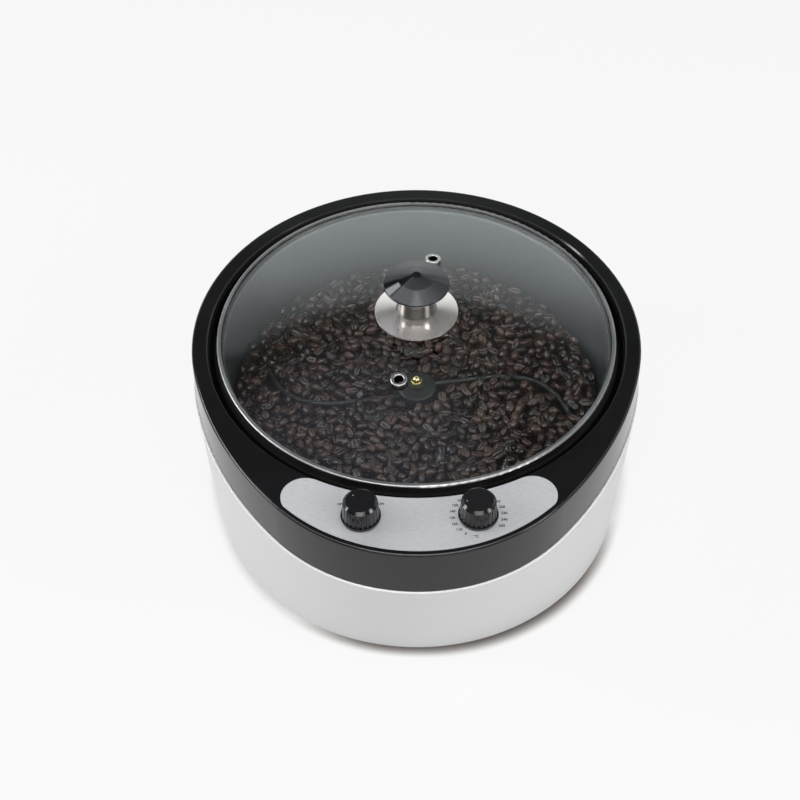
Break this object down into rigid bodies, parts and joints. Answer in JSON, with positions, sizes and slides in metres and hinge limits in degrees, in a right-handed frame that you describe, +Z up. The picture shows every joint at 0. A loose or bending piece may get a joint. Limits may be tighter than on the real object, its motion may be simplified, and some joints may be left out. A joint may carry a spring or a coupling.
{
  "type": "coffee bean roaster",
  "caption": "Countertop coffee bean roaster: oval casing, heated round pan with a stirrer driven from below, lift-off glass lid, two control knobs.",
  "frame": {"origin": "middle of the outer box's footprint, on the table; the pan's upright axis stands 18.6 mm behind it, at x = 0, y = 0.0186", "axes": "+Z up along the pan's axis, -Y the front with the control plate, +X to the right seen from the front"},
  "size_m": [0.3178, 0.3549, 0.1922],
  "materials": {
    "shell_white": "satin",
    "band_black": "gloss",
    "base_black": "matte",
    "plate_silver": "satin",
    "dial_black": "gloss",
    "lid_glass": "polished",
    "rim_steel": "polished",
    "knob_steel": "satin",
    "cap_black": "gloss",
    "silicone_black": "matte",
    "foot_rubber": "matte",
    "pan_coating": "satin",
    "sheet_steel": "satin",
    "screw_steel": "satin",
    "element_sheath": "matte",
    "copper_tube": "satin",
    "brass": "polished",
    "motor_can": "satin",
    "block_white": "matte",
    "stirrer_dark": "satin",
    "roasted_bean": "satin"
  },
  "bodies": {
    "casing": {"lower_shell": "shell_white", "upper_shell": "band_black", "base_plate": "base_black", "post_screws": "screw_steel", "rubber_feet": "foot_rubber", "foot_screws": "screw_steel", "control_plate": "plate_silver", "rotary_switch": "base_black", "thermostat": "sheet_steel", "neck_nuts": "screw_steel", "roasting_pan": "pan_coating", "pan_gasket": "silicone_black", "pan_bush": "brass", "heat_shield": "sheet_steel", "heating_element": "element_sheath", "element_brackets": "sheet_steel", "thermostat_bulb": "copper_tube", "bulb_clips": "sheet_steel", "thermal_cutout": "block_white", "gear_motor": "motor_can", "motor_spacers": "screw_steel", "motor_screws": "screw_steel", "motor_nuts": "screw_steel", "power_inlet": "base_black", "inlet_pins": "screw_steel", "inlet_screws": "screw_steel", "terminal_block": "block_white", "block_screws": "screw_steel"},
    "stirrer": {"drive_shaft": "screw_steel", "stirrer_hub": "stirrer_dark", "stirrer_arm_right": "stirrer_dark", "stirrer_arm_left": "stirrer_dark", "hub_washer": "screw_steel", "acorn_nut": "brass", "bean_charge": "roasted_bean"},
    "lid": {"lid_glass": "lid_glass", "lid_rim": "rim_steel", "vent_grommets": "knob_steel", "knob_pad": "silicone_black", "knob_stem": "knob_steel", "knob_cap": "cap_black", "knob_inner_pad": "silicone_black", "knob_screw": "screw_steel"},
    "switch_knob": {"switch_spindle": "screw_steel", "switch_dial": "dial_black"},
    "thermostat_knob": {"thermostat_spindle": "screw_steel", "thermostat_dial": "dial_black"}
  },
  "joints": [
    {"name": "stirrer_spin", "type": "hinge", "parent": "casing", "child": "stirrer", "pos_m": [0, 0.0186, 0.08], "axis": [0, 0, 1], "continuous": true},
    {"name": "lid_lift", "type": "slide", "parent": "casing", "child": "lid", "axis": [0, 0, 1], "range_m": [0, 0.15]},
    {"name": "switch_turn", "type": "hinge", "parent": "casing", "child": "switch_knob", "pos_m": [-0.0374, -0.1434, 0.14], "axis": [0, 0, -1], "range_deg": [0, 90]},
    {"name": "thermostat_turn", "type": "hinge", "parent": "casing", "child": "thermostat_knob", "pos_m": [0.0374, -0.1434, 0.14], "axis": [0, 0, -1], "range_deg": [-54, 216]}
  ]
}
